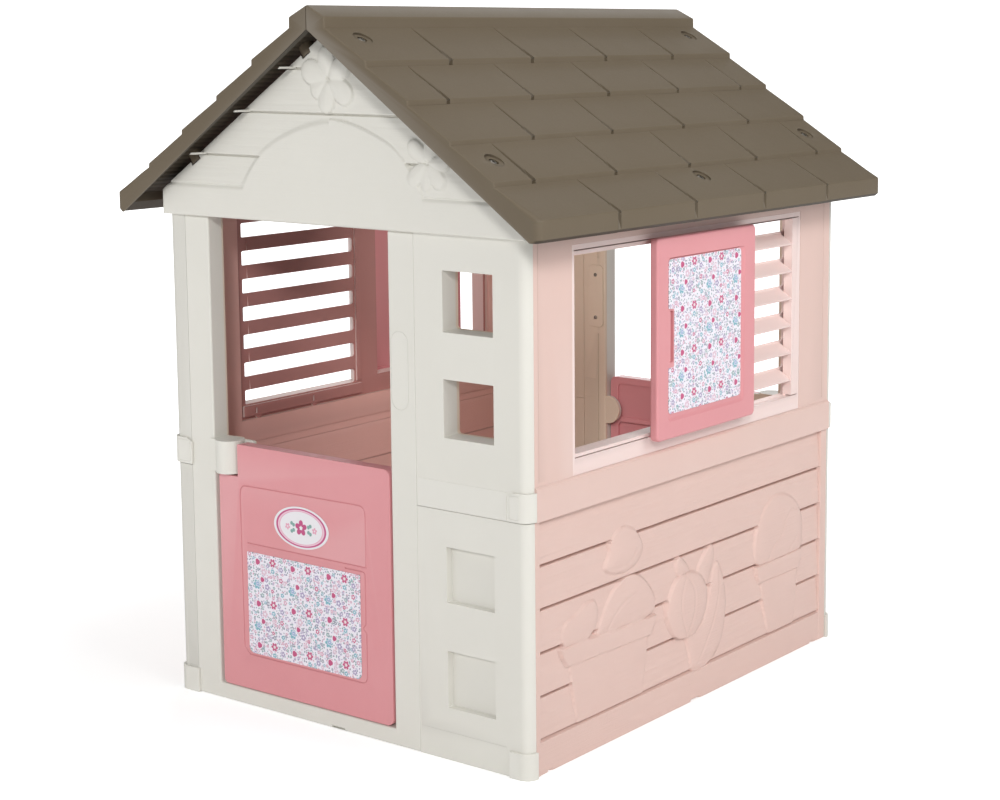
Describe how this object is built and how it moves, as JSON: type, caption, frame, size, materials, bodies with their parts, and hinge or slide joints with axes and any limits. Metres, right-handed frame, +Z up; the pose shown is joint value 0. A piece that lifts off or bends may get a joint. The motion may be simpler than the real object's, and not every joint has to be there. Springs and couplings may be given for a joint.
{
  "type": "playhouse",
  "caption": "Child's plastic playhouse with a gabled tile roof, louvred side windows with sliding shutters, and hinged half doors at both ends.",
  "frame": {"origin": "on the ground at the centre of the footprint", "axes": "+Z up; the front wall faces -Y and the roof ridge runs along Y; +X is to the right of someone facing the front wall"},
  "size_m": [0.976, 1.102, 1.27],
  "materials": {
    "cream_plastic": "fine-textured moulded plastic, satin",
    "pale_pink_plastic": "fine-textured moulded plastic with wood grain on the planks",
    "deep_pink_plastic": "smooth moulded plastic, satin",
    "taupe_plastic": "fine-textured moulded plastic",
    "floral_print": "printed film with a small floral pattern",
    "screw_steel": "plated steel"
  },
  "bodies": {
    "house": {"front_door_frame": "cream_plastic", "front_window_column_upper": "cream_plastic", "front_window_column_lower": "cream_plastic", "front_corner_post_upper": "cream_plastic", "front_corner_post_lower": "cream_plastic", "front_gable": "cream_plastic", "front_jamb_plate": "cream_plastic", "front_plate_screw_1": "screw_steel", "front_plate_screw_2": "screw_steel", "back_door_frame": "cream_plastic", "back_window_column_upper": "cream_plastic", "back_window_column_lower": "cream_plastic", "back_corner_post_upper": "cream_plastic", "back_corner_post_lower": "cream_plastic", "back_gable": "cream_plastic", "back_jamb_plate": "cream_plastic", "back_plate_screw_1": "screw_steel", "back_plate_screw_2": "screw_steel", "corner_clip_front_right": "cream_plastic", "corner_clip_front_left": "cream_plastic", "corner_clip_back_left": "cream_plastic", "corner_clip_back_right": "cream_plastic", "corner_foot_front_right": "cream_plastic", "corner_foot_front_left": "cream_plastic", "corner_foot_back_left": "cream_plastic", "corner_foot_back_right": "cream_plastic", "right_wall_lower": "pale_pink_plastic", "right_wall_upper": "pale_pink_plastic", "right_window_frame": "pale_pink_plastic", "left_wall_lower": "pale_pink_plastic", "left_wall_upper": "pale_pink_plastic", "left_window_frame": "pale_pink_plastic", "roof_right": "taupe_plastic", "roof_left": "taupe_plastic", "roof_screw_right_front_top": "screw_steel", "roof_screw_right_back_top": "screw_steel", "roof_screw_right_front_eave": "screw_steel", "roof_screw_right_back_eave": "screw_steel", "roof_screw_right_mid_eave": "screw_steel", "roof_screw_left_front_top": "screw_steel", "roof_screw_left_back_top": "screw_steel", "roof_screw_left_front_eave": "screw_steel", "roof_screw_left_back_eave": "screw_steel", "roof_screw_left_mid_eave": "screw_steel"},
    "front_door": {"front_door": "deep_pink_plastic", "front_hinge_pin_top": "deep_pink_plastic", "front_hinge_pin_bottom": "deep_pink_plastic", "front_door_print": "floral_print", "front_door_badge": "floral_print"},
    "back_door": {"back_door": "deep_pink_plastic", "back_hinge_pin_top": "deep_pink_plastic", "back_hinge_pin_bottom": "deep_pink_plastic", "back_door_print": "floral_print", "back_door_badge": "floral_print"},
    "right_shutter": {"right_shutter": "deep_pink_plastic", "right_shutter_print": "floral_print"},
    "left_shutter": {"left_shutter": "deep_pink_plastic", "left_shutter_print": "floral_print"}
  },
  "joints": [
    {"name": "front_door_hinge", "type": "hinge", "parent": "house", "child": "front_door", "pos_m": [-0.281, -0.4835, 0.25], "axis": [0, 0, -1], "range_deg": [0, 110]},
    {"name": "back_door_hinge", "type": "hinge", "parent": "house", "child": "back_door", "pos_m": [0.281, 0.4835, 0.25], "axis": [0, 0, -1], "range_deg": [0, 110]},
    {"name": "right_shutter_slide", "type": "slide", "parent": "house", "child": "right_shutter", "axis": [0, 1, 0], "range_m": [-0.1975, 0.198]},
    {"name": "left_shutter_slide", "type": "slide", "parent": "house", "child": "left_shutter", "axis": [0, -1, 0], "range_m": [-0.0205, 0.375]}
  ]
}
